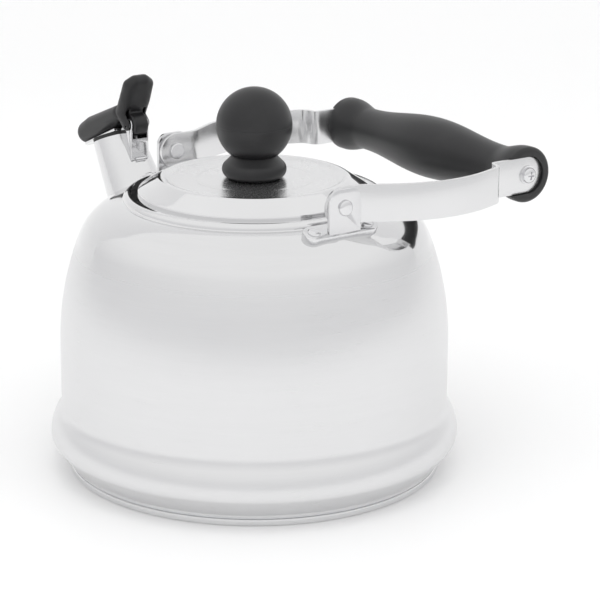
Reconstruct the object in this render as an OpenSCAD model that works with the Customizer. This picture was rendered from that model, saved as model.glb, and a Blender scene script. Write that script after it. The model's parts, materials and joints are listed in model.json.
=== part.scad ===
// Stovetop whistling kettle with a fold-down bail handle, a lift-off lid and a flip-up whistle.
// Millimetres. The base's underside is at z = 0, the spout points along +Y,
// and the handle lies folded towards +X at the height of its pivots.

/* [Part] */
// Which sub-part to draw

/* [Body] */
// Widest diameter, at the bulge above the base
bulge_d = 210; // [175:1:252]
// Height of the neck's top rim above the table
body_h = 142.8; // [119:0.2:172]
// Lid diameter as a share of the bulge diameter
lid_share = 0.56; // [0.47:0.002:0.64]
// Sheet thickness of the pressed body and spout
wall = 1; // [0.8:0.05:1.2]
// Height of the capsule base below the body
capsule_h = 4.4; // [3.7:0.1:5.2]

/* [Handle] */
// Distance from the pivots to the grip's axis
handle_reach = 116; // [97:1:139]
// Height of the flat steel arms
strap_h = 18.5; // [15.4:0.1:22.2]
// Thickness of the flat steel arms and of the bracket plates
strap_t = 2; // [1.7:0.1:2.4]
// Radius of the grip at its belly
grip_belly_r = 16.2; // [13.6:0.1:19.2]
// Radius of the rivets that the handle turns on
pivot_r = 2.5; // [2.1:0.1:3]

/* [Lid knob] */
// Radius of the round knob
knob_r = 19.2; // [16:0.1:23]

/* [Spout and whistle] */
// Lean of the spout from the vertical, in degrees
spout_lean = 35.5; // [30:0.5:38]
// Outer radius of the spout at its mouth
mouth_r = 13.2; // [11:0.1:15.8]
// Distance of the mouth's centre from the kettle's axis, as a share of the bulge radius
mouth_share = 1.25; // [1.18:0.005:1.35]
// Width of the whistle's two black lobes
lobe_w = 18.4; // [17:0.1:22]

/* [Hidden] */
run_fit = 0.06;
face_gap = 0.05;
drop_fit = 1;
screw_fit = 0.1;
over = 5;
fine = 128;
mid = 64;
low = 32;
steel = [0.80, 0.80, 0.82];
alloy = [0.72, 0.73, 0.75];
brassy = [0.78, 0.63, 0.33];
black = [0.08, 0.08, 0.085];

// ---- body profile: tangent arcs from the base corner to the neck ----
bulge_r = bulge_d / 2;
drum_r = bulge_r - 5.6;
lid_r = bulge_d * lid_share / 2;
neck_r = lid_r + 8.4;
neck_in_r = lid_r - 2.1;
neck_rise = 3.6;
bulge_arc = 20;
lip_arc = 6;
under_a = 40;
fillet_arc = 12;
bulge_z = capsule_h + 13.9;
lip_x = bulge_r - lip_arc;
fillet_x = drum_r + fillet_arc;
fillet_a = acos((fillet_x - bulge_r + bulge_arc) / (bulge_arc + fillet_arc));
fillet_z = bulge_z + (bulge_arc + fillet_arc) * sin(fillet_a);
dome_a = 21.4;
crown_x = neck_r - 6.1;
crown_gap = drum_r - crown_x;
crown_arc = 0.783 * crown_gap;
dome_arc = (crown_gap - crown_arc * cos(dome_a)) / (1 - cos(dome_a));
crown_z = body_h - 3 - crown_arc;
dome_z = crown_z - (dome_arc - crown_arc) * sin(dome_a);
crown_end = acos((neck_r - crown_x) / crown_arc);
neck_z = crown_z + crown_arc * sin(crown_end);

function arc(cx, cz, r, a0, a1, n) =
    [for (i = [0 : n]) [cx + r * cos(a0 + (a1 - a0) * i / n), cz + r * sin(a0 + (a1 - a0) * i / n)]];

function unit(v) = v / norm(v);

// a corner at q rounded off over the length c on each side
function corner(p, q, s, c, n) = c == 0 ? [q] :
    [for (i = [0 : n]) let (u = i / n, a = q + c * unit(p - q), b = q + c * unit(s - q))
    (1 - u) * (1 - u) * a + 2 * u * (1 - u) * q + u * u * b];

// radius at height z of the slope under the bulge, inset by t
function slope_r(t, z) = lip_x + (lip_arc - t) * cos(under_a)
    - (bulge_z - (lip_arc - t) * sin(under_a) - z) * tan(under_a);

knee_z = capsule_h + 1.1;
knee_r = slope_r(0, knee_z);
knee = concat([[knee_r, capsule_h]],
    corner([knee_r, 0], [knee_r, knee_z], [knee_r + 9 * tan(under_a), knee_z + 9], 1, 4));

// the outside of the body inset by t, from under the bulge up to the foot of the neck
function side(t, q) = concat(
    arc(lip_x, bulge_z, lip_arc - t, -under_a, 0, 6 * q),
    arc(bulge_r - bulge_arc, bulge_z, bulge_arc - t, 0, fillet_a, 5 * q),
    arc(fillet_x, fillet_z, fillet_arc + t, 180 + fillet_a, 180, 4 * q),
    arc(drum_r - dome_arc, dome_z, dome_arc - t, 0, dome_a, 5 * q),
    arc(crown_x, crown_z, crown_arc - t, dome_a, crown_end, 8 * q));

function neck_edge() = [[neck_r - 0.4, neck_z + 0.7], [neck_r - 2.4, body_h - 0.8], [neck_r - 3.4, body_h]];

function flip(p) = [for (i = [len(p) - 1 : -1 : 0]) p[i]];

module body_solid() {
    rotate_extrude($fn = fine)
    polygon(concat([[0, capsule_h]], knee, side(0, 1), neck_edge(), [[0, body_h]]));
}

// ---- spout ----
mouth_y = bulge_r * mouth_share;
mouth_z = body_h + 3.3;
mouth_tilt = 23.5;
spout_wall = wall * 0.9;
spout_grow = 0.08;
spout_len = 70;

// everything below is drawn in the mouth's own frame: +Y along the rim plane, +Z off it
module at_mouth() {
    translate([0, mouth_y, mouth_z])
    rotate([-mouth_tilt, 0, 0])
    children();
}

module spout_cone(inset, above) {
    translate([0, mouth_y, mouth_z])
    rotate([-spout_lean, 0, 0])
    translate([0, 0, -spout_len])
    cylinder(h = spout_len + above, r1 = mouth_r - inset + spout_len * spout_grow,
        r2 = mouth_r - inset - above * spout_grow, $fn = mid);
}

module spout_tube() {
    color(steel)
    difference() {
        spout_cone(0, 8);
        spout_cone(spout_wall, 12);
        body_solid();
        at_mouth()
        translate([-40, -40, 0])
        cube([80, 80, 40]);
    }
}

// ---- handle bracket places ----
foot_y = neck_r + 4.6;
foot_a = acos((foot_y - crown_x) / crown_arc);
foot_slope = 90 - foot_a;
foot_z = crown_z + crown_arc * sin(foot_a);
foot_t = 1.6;
foot_w = 10.6;
foot_l = 42.8;
foot_rivet_x = 15.9;
foot_rivet_r = 1.6;
foot_head_r = 3.2;
foot_head_h = 1.2;
foot_top_z = foot_z + foot_t / cos(foot_slope);
stop_gap = 0.1;
pivot_z = foot_top_z + foot_head_h + stop_gap + strap_h / 2;
strap_y = foot_y + 0.7;
washer_t = 0.6;
washer_r = 6;
ear_w = strap_h + 0.2;
ear_y = strap_y + strap_t / 2 + washer_t;
ear_corner = 5.5;
pivot_head_r = 3.9;
pivot_head_h = 1.8;

module on_foot() {
    translate([0, foot_y, foot_z])
    rotate([-foot_slope, 0, 0])
    children();
}

module rear() {
    mirror([0, 1, 0])
    children();
}

// ---- body pieces ----
capsule_r = knee_r - 0.2;
capsule_t = 0.8;

module base_capsule() {
    color(steel)
    rotate_extrude($fn = fine)
    polygon([[0, 0], [capsule_r - 1.2, 0], [capsule_r - 0.35, 0.35], [capsule_r, 1.2], [capsule_r, capsule_h],
        [capsule_r - capsule_t, capsule_h], [capsule_r - capsule_t, capsule_t], [0, capsule_t]]);
}

module base_core() {
    color(alloy)
    translate([0, 0, capsule_t])
    cylinder(h = capsule_h - capsule_t, r = capsule_r - capsule_t, $fn = fine);
}

module foot_rivet_holes() {
    on_foot()
    for (s = [-1, 1])
    translate([s * foot_rivet_x, 0, -over])
    cylinder(h = 2 * over, r = foot_rivet_r, $fn = low);
}

module body_shell() {
    color(steel)
    difference() {
        rotate_extrude($fn = fine)
        polygon(concat([[0, capsule_h]], knee, side(0, 1), neck_edge(),
            [[neck_in_r, body_h], [neck_in_r, body_h - 6.5], [neck_in_r + wall, body_h - 6.5],
            [neck_in_r + wall, neck_z - wall]], flip(side(wall, 0.5)),
            [[slope_r(wall, capsule_h + wall), capsule_h + wall], [0, capsule_h + wall]]));
        spout_cone(spout_wall, 0);
        foot_rivet_holes();
        rear()
        foot_rivet_holes();
    }
}

module stadium(l, w) {
    translate([-(l - w) / 2, -w / 2])
    square([l - w, w]);
    for (s = [-1, 1])
    translate([s * (l - w) / 2, 0])
    circle(d = w, $fn = mid);
}

module handle_bracket_front() {
    color(steel)
    difference() {
        union() {
            on_foot()
            translate([0, 0, -3])
            linear_extrude(3 + foot_t)
            stadium(foot_l, foot_w);
            translate([-ear_w / 2, ear_y, foot_z - 4])
            cube([ear_w, strap_t, pivot_z + ear_w / 2 - ear_corner - foot_z + 4]);
            translate([-ear_w / 2 + ear_corner, ear_y, pivot_z])
            cube([ear_w - 2 * ear_corner, strap_t, ear_w / 2]);
            for (s = [-1, 1])
            translate([s * (ear_w / 2 - ear_corner), ear_y, pivot_z + ear_w / 2 - ear_corner])
            rotate([-90, 0, 0])
            cylinder(h = strap_t, r = ear_corner, $fn = mid);
        }
        body_solid();
        foot_rivet_holes();
        translate([0, ear_y - 1, pivot_z])
        rotate([-90, 0, 0])
        cylinder(h = strap_t + 2, r = pivot_r, $fn = low);
    }
}

module handle_bracket_rear() {
    rear()
    handle_bracket_front();
}

module dome_head(r, h) {
    rotate_extrude($fn = low)
    polygon([[0, 0], [r, 0], [r, h * 0.4], [r * 0.9, h * 0.7], [r * 0.65, h * 0.92], [r * 0.3, h], [0, h]]);
}

inner_head_gap = 1.3;

module bracket_rivets_front() {
    color(steel)
    on_foot()
    for (s = [-1, 1])
    translate([s * foot_rivet_x, 0, 0]) {
        translate([0, 0, foot_t])
        dome_head(foot_head_r, foot_head_h);
        translate([0, 0, -wall - inner_head_gap])
        cylinder(h = foot_t + wall + inner_head_gap + 0.1, r = foot_rivet_r, $fn = low);
        translate([0, 0, -wall - inner_head_gap - 1])
        cylinder(h = 1, r = foot_rivet_r + 1, $fn = low);
    }
}

module bracket_rivets_rear() {
    rear()
    bracket_rivets_front();
}

module pivot_rivet_front() {
    color(steel)
    translate([0, strap_y - strap_t / 2 - face_gap, pivot_z])
    rotate([-90, 0, 0]) {
        translate([0, 0, -1.4])
        cylinder(h = 1.4, r = pivot_r + 1.7, $fn = mid);
        cylinder(h = 2 * strap_t + washer_t + face_gap + 0.2, r = pivot_r, $fn = low);
        translate([0, 0, 2 * strap_t + washer_t + face_gap])
        dome_head(pivot_head_r, pivot_head_h);
    }
}

module pivot_rivet_rear() {
    rear()
    pivot_rivet_front();
}

module ring(r_out, r_in, h) {
    difference() {
        cylinder(h = h, r = r_out, $fn = mid);
        translate([0, 0, -1])
        cylinder(h = h + 2, r = r_in, $fn = low);
    }
}

module pivot_washer_front() {
    color(steel)
    translate([0, strap_y + strap_t / 2 + face_gap, pivot_z])
    rotate([-90, 0, 0])
    ring(washer_r, pivot_r, washer_t - face_gap);
}

module pivot_washer_rear() {
    rear()
    pivot_washer_front();
}

// ---- handle ----
tab_y = strap_y + 1.7;
floor_y = tab_y - strap_t / 2;
recess = 3.4;
grip_end = floor_y + recess;
grip_flange_r = 14.4;
grip_waist_r = grip_belly_r * 0.7;
recess_fit = 0.4;
insert_r = 3.4;
insert_l = 15;
grip_screw_r = 2;
grip_washer_t = 0.8;
grip_washer_r = 4.9;
grip_head_r = 4;
grip_head_h = 2.3;
grip_screw_l = 12;

arm_v = [[0, strap_y], [12.2, strap_y], [handle_reach * 0.434, strap_y + 24],
    [handle_reach - 25, strap_y + 9.6], [handle_reach - 22.8, tab_y], [handle_reach, tab_y]];
arm_cut = [0, 3, 33, 3.4, 2.8, 0];

arm_path = concat([arm_v[0]],
    corner(arm_v[0], arm_v[1], arm_v[2], arm_cut[1], 6),
    corner(arm_v[1], arm_v[2], arm_v[3], arm_cut[2], 14),
    corner(arm_v[2], arm_v[3], arm_v[4], arm_cut[3], 8),
    corner(arm_v[3], arm_v[4], arm_v[5], arm_cut[4], 8),
    [arm_v[5]]);

function arm_dir(i) = i == 0 || i == len(arm_path) - 1 ? [1, 0] : unit(arm_path[i + 1] - arm_path[i - 1]);

function arm_side(d) = [for (i = [0 : len(arm_path) - 1]) let (t = arm_dir(i)) arm_path[i] + d * [-t[1], t[0]]];

module arm_hole(x, y, r) {
    translate([x, y - strap_t, pivot_z])
    rotate([-90, 0, 0])
    cylinder(h = 2 * strap_t, r = r, $fn = low);
}

module handle_arm_front() {
    color(steel)
    difference() {
        union() {
            translate([0, 0, pivot_z - strap_h / 2])
            linear_extrude(strap_h)
            polygon(concat(arm_side(-strap_t / 2), flip(arm_side(strap_t / 2))));
            for (p = [[0, strap_y], [handle_reach, tab_y]])
            translate([p[0], p[1] - strap_t / 2, pivot_z])
            rotate([-90, 0, 0])
            cylinder(h = strap_t, r = strap_h / 2, $fn = mid);
        }
        arm_hole(0, strap_y, pivot_r + run_fit);
        arm_hole(handle_reach, tab_y, grip_screw_r + screw_fit);
    }
}

module handle_arm_rear() {
    rear()
    handle_arm_front();
}

waist_y = grip_end * 0.72;
rim_y = grip_end * 0.93;

function grip_half() = concat(
    [for (i = [0 : 15]) let (u = i / 15)
    [grip_waist_r + (grip_belly_r - grip_waist_r) * pow(cos(90 * u), 2), waist_y * u]],
    [for (i = [1 : 5]) let (u = i / 5)
    [grip_waist_r + (grip_flange_r - grip_waist_r) * (3 - 2 * u) * u * u, waist_y + (rim_y - waist_y) * u]],
    arc(grip_flange_r - 2.6, grip_end - 2.6, 2.6, 0, 90, 5));

module grip_recess() {
    translate([handle_reach, floor_y, pivot_z])
    rotate([-90, 0, 0]) {
        cylinder(h = recess + 1, r = strap_h / 2 + recess_fit, $fn = mid);
        translate([-grip_flange_r - 4, -strap_h / 2 - recess_fit, 0])
        cube([grip_flange_r + 4, strap_h + 2 * recess_fit, recess + 1]);
        translate([0, 0, -insert_l])
        cylinder(h = insert_l + 1, r = insert_r, $fn = low);
    }
}

module handle_grip() {
    half = grip_half();
    color(black)
    difference() {
        translate([handle_reach, 0, pivot_z])
        rotate([90, 0, 0])
        rotate_extrude($fn = mid)
        polygon(concat([[0, -grip_end]], [for (p = flip(half)) [p[0], -p[1]]],
            [for (i = [1 : len(half) - 1]) half[i]], [[0, grip_end]]));
        grip_recess();
        rear()
        grip_recess();
    }
}

module grip_insert_front() {
    color(brassy)
    translate([handle_reach, floor_y - insert_l, pivot_z])
    rotate([-90, 0, 0])
    ring(insert_r, grip_screw_r, insert_l);
}

module grip_insert_rear() {
    rear()
    grip_insert_front();
}

module grip_washer_front() {
    color(steel)
    translate([handle_reach, tab_y + strap_t / 2, pivot_z])
    rotate([-90, 0, 0])
    ring(grip_washer_r, grip_screw_r + screw_fit, grip_washer_t);
}

module grip_washer_rear() {
    rear()
    grip_washer_front();
}

module cross_cut(w, l, d) {
    for (a = [0, 90])
    rotate([0, 0, a])
    translate([-l / 2, -w / 2, -d])
    cube([l, w, d + 1]);
}

module pan_screw(r, l, head_r, head_h) {
    difference() {
        union() {
            translate([0, 0, -l])
            cylinder(h = l + 0.1, r = r, $fn = low);
            dome_head(head_r, head_h);
        }
        translate([0, 0, head_h])
        rotate([0, 0, 20])
        cross_cut(head_r * 0.24, head_r * 1.15, head_h * 0.6);
    }
}

module grip_screw_front() {
    color(steel)
    translate([handle_reach, tab_y + strap_t / 2 + grip_washer_t, pivot_z])
    rotate([-90, 0, 0])
    pan_screw(grip_screw_r, grip_screw_l, grip_head_r, grip_head_h);
}

module grip_screw_rear() {
    rear()
    grip_screw_front();
}

// ---- lid ----
ridge_r = lid_r - 11;
lid_top = body_h + 8.3;
lid_dish = 1;
lid_t = 1;
skirt_r = neck_in_r - drop_fit;
skirt_t = 0.8;
skirt_l = 11.8;
lid_bore = 2.2;

module lid_shell() {
    color(steel)
    rotate_extrude($fn = fine)
    polygon([[lid_bore, lid_top - lid_dish], [ridge_r - 4, lid_top - lid_dish], [ridge_r - 2, lid_top - 0.35],
        [ridge_r - 1, lid_top], [ridge_r, lid_top - 0.05], [ridge_r + 0.9, lid_top - 0.6],
        [lid_r - 5.5, body_h + 5.2], [lid_r - 1.6, body_h + 2.7], [lid_r - 0.4, body_h + 1.6], [lid_r, body_h + 0.8],
        [lid_r, body_h], [lid_r - lid_t, body_h], [lid_r - lid_t, body_h + 0.8],
        [lid_r - 2.4, body_h + 1.7], [lid_r - 6.2, body_h + 4.2], [ridge_r, lid_top - 1.6],
        [ridge_r - 1.4, lid_top - lid_t], [ridge_r - 3.4, lid_top - lid_dish - lid_t],
        [lid_bore, lid_top - lid_dish - lid_t]]);
}

module lid_skirt() {
    color(steel)
    rotate_extrude($fn = fine)
    polygon([[skirt_r - skirt_t, body_h - skirt_l], [skirt_r, body_h - skirt_l], [skirt_r, body_h],
        [lid_r - lid_t, body_h], [lid_r - lid_t, body_h + 0.8], [skirt_r - skirt_t, body_h + 0.8]]);
}

collar_h = 12;
collar_r = knob_r * 0.85;
knob_z = lid_top - lid_dish + collar_h + knob_r * 0.78;
seat_r = knob_r * 0.6;
knob_screw_r = 2;
knob_insert_r = 3.6;
knob_insert_l = 14;
knob_flat_z = knob_z - sqrt(knob_r * knob_r - seat_r * seat_r);

module knob_collar() {
    z0 = lid_top - lid_dish;
    color(black)
    rotate_extrude($fn = mid)
    polygon(concat([[lid_bore, z0], [collar_r - 4.6, z0]],
        arc(collar_r - 4.6, z0 + 4.6, 4.6, -82, 52, 10),
        [[seat_r + 1, knob_flat_z - 1.4], [seat_r, knob_flat_z], [lid_bore, knob_flat_z]]));
}

module knob_ball() {
    color(black)
    difference() {
        translate([0, 0, knob_z])
        sphere(r = knob_r, $fn = fine);
        translate([-30, -30, knob_flat_z - 30])
        cube([60, 60, 30]);
        translate([0, 0, knob_flat_z - 1])
        cylinder(h = knob_insert_l + 1, r = knob_insert_r, $fn = low);
    }
}

module knob_insert() {
    color(brassy)
    translate([0, 0, knob_flat_z])
    ring(knob_insert_r, knob_screw_r, knob_insert_l);
}

knob_washer_r = 6.5;
knob_washer_t = 0.8;

module knob_washer() {
    color(steel)
    translate([0, 0, lid_top - lid_dish - lid_t - knob_washer_t])
    ring(knob_washer_r, knob_screw_r + screw_fit, knob_washer_t);
}

module knob_screw() {
    color(steel)
    translate([0, 0, lid_top - lid_dish - lid_t - knob_washer_t])
    rotate([180, 0, 0])
    pan_screw(knob_screw_r, knob_flat_z - lid_top + lid_dish + lid_t + knob_washer_t + 10, 4, 2.3);
}

// ---- whistle, drawn in the mouth's frame ----
pin_u = -mouth_r - 9.8;
pin_w = 2.3;
pin_r = 1.5;
seal_t = 2;
seal_r = mouth_r - 0.3;
seal_in_r = mouth_r - 4.5;
plate_t = 1.4;
plate_w = lobe_w - 2.6;
plate_back = mouth_r - 1;
tip_u = mouth_r + 9.8;
plate_end = mouth_r + 11.2;
plate_corner = 4;
tip_drop = 1.8;
plate_z = face_gap + seal_t;
lobe_z = plate_z + plate_t;
ear_in = 4.6;
ear_t = 0.8;
ear_fit = 0.3;
core_r = 6;
cheek_r = 4.4;
half_w = lobe_w / 2;
cheek_x = half_w - 1.2;
pin_half = cheek_x - 1;
chamber_r = 6;
vent_r = 1.5;
vent_x = 4.6;
plate_screw_r = 1.2;
plate_screw_u = [mouth_r + 2.6, mouth_r + 7.6];

module along_x(r, l) {
    rotate([0, 90, 0])
    translate([0, 0, -l / 2])
    cylinder(h = l, r = r, $fn = low);
}

module pair(x, y, z, r) {
    for (s = [-1, 1])
    translate([s * x, y, z])
    sphere(r = r, $fn = low);
}

module front_lobe() {
    difference() {
        hull() {
            pair(half_w - 6.4, tip_u, lobe_z + 5.8, 6.4);
            pair(half_w - 6.2, tip_u - 7.4, lobe_z + 6.9, 6.2);
            pair(half_w - 5.4, -7, lobe_z + 5.6, 5.4);
            pair(half_w - 5, pin_u + 7, lobe_z + 7, 4.8);
        }
        translate([-40, -60, lobe_z - 40])
        cube([80, 60 + plate_end, 40]);
        translate([-40, plate_end - 1, lobe_z - 40])
        cube([80, 40, 40 - tip_drop]);
    }
}

module thumb_lobe() {
    hull() {
        pair(half_w - 6.6, pin_u - 12.9, pin_w + 20.7, 3.6);
        pair(half_w - 3.8, pin_u - 11, pin_w + 19.4, 3.7);
        pair(half_w - 3.9, pin_u - 4, pin_w + 12.6, 3.9);
        pair(half_w - 4.6, pin_u + 2, pin_w + 8, 4.4);
    }
}

module hinge_block() {
    hull() {
        translate([0, pin_u, pin_w])
        along_x(core_r, 2 * (ear_in - ear_fit));
        translate([0, pin_u + 5, pin_w + 8])
        along_x(4, 2 * (ear_in - ear_fit));
    }
    hull() {
        pair(cheek_x - cheek_r, pin_u + 0.4, pin_w + 0.6, cheek_r);
        pair(cheek_x - cheek_r, pin_u + 4, pin_w + 8, cheek_r);
    }
}

module whistle_lever() {
    color(black)
    at_mouth()
    difference() {
        union() {
            front_lobe();
            thumb_lobe();
            hinge_block();
        }
        for (s = [-1, 1])
        translate([s * (ear_in + ear_t / 2), pin_u, pin_w])
        along_x(9, ear_t + 2 * ear_fit);
        translate([0, pin_u, pin_w])
        along_x(pin_r + run_fit, 2 * pin_half + 0.8);
        translate([0, pin_u, pin_w])
        along_x(4, 5);
        translate([0, 0, lobe_z - 1])
        cylinder(h = 5, r = chamber_r, $fn = mid);
        translate([vent_x, 0, lobe_z + 2.2])
        rotate([-90, 0, 0])
        cylinder(h = 60, r = vent_r, $fn = low);
        for (u = plate_screw_u)
        translate([0, u, lobe_z - 1])
        cylinder(h = 7, r = plate_screw_r, $fn = low);
    }
}

module whistle_plate() {
    color(steel)
    at_mouth()
    translate([0, 0, plate_z])
    difference() {
        union() {
            translate([-plate_w / 2, -plate_back, 0])
            cube([plate_w, plate_end - face_gap - plate_corner + plate_back, plate_t]);
            translate([-plate_w / 2 + plate_corner, 0, 0])
            cube([plate_w - 2 * plate_corner, plate_end - face_gap, plate_t]);
            for (s = [-1, 1])
            translate([s * (plate_w / 2 - plate_corner), plate_end - face_gap - plate_corner, 0])
            cylinder(h = plate_t, r = plate_corner, $fn = mid);
        }
        translate([0, 0, -1])
        cylinder(h = plate_t + 2, r = vent_r, $fn = low);
        for (u = plate_screw_u)
        translate([0, u, -1])
        cylinder(h = plate_t + 2, r = plate_screw_r + screw_fit, $fn = low);
    }
}

module whistle_seal() {
    color(black)
    at_mouth()
    translate([0, 0, face_gap])
    difference() {
        cylinder(h = seal_t, r = seal_r, $fn = mid);
        translate([0, 0, -1])
        cylinder(h = seal_t + 2, r = seal_in_r, $fn = mid);
    }
}

module whistle_disc() {
    color(steel)
    at_mouth()
    translate([0, 0, face_gap + 0.5])
    ring(seal_in_r, vent_r, 0.7);
}

module whistle_plate_screws() {
    color(steel)
    at_mouth()
    for (u = plate_screw_u)
    translate([0, u, plate_z])
    rotate([180, 0, 0])
    pan_screw(plate_screw_r, plate_t + 5, 2.2, 1.2);
}

module whistle_hinge_pin() {
    color(steel)
    at_mouth()
    translate([0, pin_u, pin_w])
    along_x(pin_r, 2 * pin_half);
}

module whistle_spring() {
    color(steel)
    at_mouth()
    for (i = [-2 : 2])
    translate([i * 0.85, pin_u, pin_w])
    rotate([0, 90, 0])
    rotate_extrude($fn = low)
    translate([2.9, 0])
    circle(r = 0.45, $fn = 16);
}

// the bracket in the mouth's frame: two ears round the pin, and a web behind them down to the tube
web_foot = -mouth_r - 5.6;
web_back = [[pin_u - 0.2, -5.8], [pin_u + 0.8, -8], [web_foot, -16.2]];

module plate_across(width, outline) {
    translate([-width / 2, 0, 0])
    rotate([90, 0, 90])
    linear_extrude(width)
    polygon(outline);
}

module whistle_bracket() {
    color(steel)
    difference() {
        at_mouth()
        union() {
            for (s = [-1, 1])
            translate([s * (ear_in + ear_t / 2), pin_u, pin_w])
            along_x(3.9, ear_t);
            for (s = [-1, 1])
            translate([s * (ear_in + ear_t / 2), 0, 0])
            plate_across(ear_t, [[pin_u + 1.6, pin_w + 3.5], [-mouth_r + 2, -1], [-mouth_r - 3, -17],
                web_back[2], web_back[1], web_back[0], [pin_u - 3.9, pin_w]]);
            plate_across(2 * (ear_in + ear_t), concat(web_back,
                [[web_foot + 1.4, -16.2], [pin_u + 1.9, -7.6], [pin_u + 0.9, -5.5]]));
        }
        spout_cone(0, 30);
        at_mouth()
        translate([0, pin_u, pin_w])
        along_x(pin_r, 30);
    }
}

module whistle_bracket_weld() {
    color(steel)
    difference() {
        at_mouth()
        translate([0, web_foot + 0.2, -16.3])
        along_x(1.3, 6);
        spout_cone(-face_gap, 30);
        whistle_bracket();
    }
}

base_capsule();
base_core();
body_shell();
spout_tube();
whistle_bracket();
whistle_bracket_weld();
handle_bracket_front();
handle_bracket_rear();
bracket_rivets_front();
bracket_rivets_rear();
pivot_rivet_front();
pivot_rivet_rear();
pivot_washer_front();
pivot_washer_rear();
handle_arm_front();
handle_arm_rear();
handle_grip();
grip_insert_front();
grip_insert_rear();
grip_washer_front();
grip_washer_rear();
grip_screw_front();
grip_screw_rear();
lid_shell();
lid_skirt();
knob_collar();
knob_ball();
knob_insert();
knob_washer();
knob_screw();
whistle_lever();
whistle_plate();
whistle_seal();
whistle_disc();
whistle_plate_screws();
whistle_hinge_pin();
whistle_spring();
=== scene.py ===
# %% [markdown]
# # A stovetop whistling kettle
# The kettle is pressed and polished stainless steel with black plastic where a hand goes: a knob on
# the lid, a turned grip on a folding handle, and a flip-up whistle over the spout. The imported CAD
# model is the frame. This file gives it smooth surfaces, rounded edges and real finishes.

import json
import math

import bmesh
import bpy
from mathutils import Matrix, Vector


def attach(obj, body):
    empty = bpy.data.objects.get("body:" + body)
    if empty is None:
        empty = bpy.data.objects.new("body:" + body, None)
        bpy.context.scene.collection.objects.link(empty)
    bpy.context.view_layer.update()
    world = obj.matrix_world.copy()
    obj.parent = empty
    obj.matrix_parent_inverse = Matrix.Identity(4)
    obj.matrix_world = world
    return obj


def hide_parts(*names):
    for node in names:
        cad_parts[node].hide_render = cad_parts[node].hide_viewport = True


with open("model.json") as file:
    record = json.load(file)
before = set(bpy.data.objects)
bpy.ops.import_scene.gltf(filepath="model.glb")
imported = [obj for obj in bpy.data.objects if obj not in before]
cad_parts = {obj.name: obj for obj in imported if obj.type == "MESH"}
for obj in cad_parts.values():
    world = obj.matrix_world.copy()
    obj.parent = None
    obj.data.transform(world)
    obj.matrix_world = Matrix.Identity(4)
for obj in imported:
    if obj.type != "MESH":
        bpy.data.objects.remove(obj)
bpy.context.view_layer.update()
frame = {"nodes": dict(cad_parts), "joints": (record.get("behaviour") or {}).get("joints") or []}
MM = 0.001
joints = {j["name"]: j for j in frame["joints"]}

# %% [markdown]
# ## Small tools for node trees
# Geometry and shader trees are both built in the script. One class adds any node from its type, its
# settings and its sockets' values or links. A second one wraps a socket, so that shader maths reads
# like ordinary arithmetic and still becomes Math nodes.


# %% Node tree helpers
class Tree:
    def __init__(self, tree):
        self.tree = tree

    def add(self, kind, settings=None, **sockets):
        node = self.tree.nodes.new(kind)
        for key, value in (settings or {}).items():
            setattr(node, key, value)
        for key, value in sockets.items():
            index = int(key[1:]) if key[1:].isdigit() and key[0] == "i" else key.replace("_", " ")
            socket = node.inputs[index]
            if isinstance(value, Value):
                value = value.socket
            if isinstance(value, bpy.types.NodeSocket):
                self.tree.links.new(value, socket)
            else:
                socket.default_value = value
        return node


class Value:
    """A number socket that can be added, multiplied and so on."""

    def __init__(self, tree, socket):
        self.tree = tree
        self.socket = socket

    def math(self, operation, *others, swap=False):
        terms = [self, *others]
        if swap:
            terms.reverse()
        sockets = {f"i{k}": term for k, term in enumerate(terms)}
        node = self.tree.add("ShaderNodeMath", {"operation": operation}, **sockets)
        return Value(self.tree, node.outputs[0])

    def __add__(self, other):
        return self.math("ADD", other)

    def __sub__(self, other):
        return self.math("SUBTRACT", other)

    def __rsub__(self, other):
        return self.math("SUBTRACT", other, swap=True)

    def __mul__(self, other):
        return self.math("MULTIPLY", other)

    def __truediv__(self, other):
        return self.math("DIVIDE", other)

    def __pow__(self, other):
        return self.math("POWER", other)

    __radd__ = __add__
    __rmul__ = __mul__

    def step(self, low, high):
        """0 below low, 1 above high, smooth between them."""
        settings = {"interpolation_type": "SMOOTHSTEP"}
        node = self.tree.add("ShaderNodeMapRange", settings, Value=self, From_Min=low, From_Max=high)
        return Value(self.tree, node.outputs[0])


# %% [markdown]
# ## Finishes
# Stainless steel is never one grey. The drum is brushed round and round, so its fine lines follow the
# height; the neck and the lid's bevel are polished and only carry faint wiping marks; the arms and
# the lid's flat top are satin. All of it comes from noise read in the object's own coordinates,
# squeezed in one direction to make lines.


# %% A base for every finish
def finish(name, base, metallic, rough, **constants):
    """A new material, its tree, its shader and its coordinates."""
    material = bpy.data.materials.new(name)
    material.use_nodes = True
    tree = Tree(material.node_tree)
    shader = material.node_tree.nodes["Principled BSDF"]
    shader.inputs["Base Color"].default_value = (*base, 1)
    shader.inputs["Metallic"].default_value = metallic
    shader.inputs["Roughness"].default_value = rough
    for key, value in constants.items():
        shader.inputs[key.replace("_", " ")].default_value = value
    return material, tree, shader


def noise(tree, scale, detail=3.0, rough=0.5, size=1.0):
    """Noise in the object's own coordinates, squeezed by scale along X, Y and Z."""
    coords = tree.add("ShaderNodeTexCoord").outputs["Object"]
    place = tree.add("ShaderNodeMapping", Vector=coords, Scale=scale).outputs[0]
    node = tree.add("ShaderNodeTexNoise", Vector=place, Scale=size, Detail=detail, Roughness=rough)
    return Value(tree, node.outputs[0])


def tint(tree, factor, dark, light):
    node = tree.add("ShaderNodeMix", {"data_type": "RGBA"}, Factor=factor, i6=(*dark, 1), i7=(*light, 1))
    return node.outputs[2]


def bump(tree, shader, height, depth):
    node = tree.add("ShaderNodeBump", Height=height, Distance=depth, Strength=1.0)
    tree.tree.links.new(node.outputs[0], shader.inputs["Normal"])


def feed(tree, shader, socket, value):
    source = value.socket if isinstance(value, Value) else value
    tree.tree.links.new(source, shader.inputs[socket])


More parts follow.
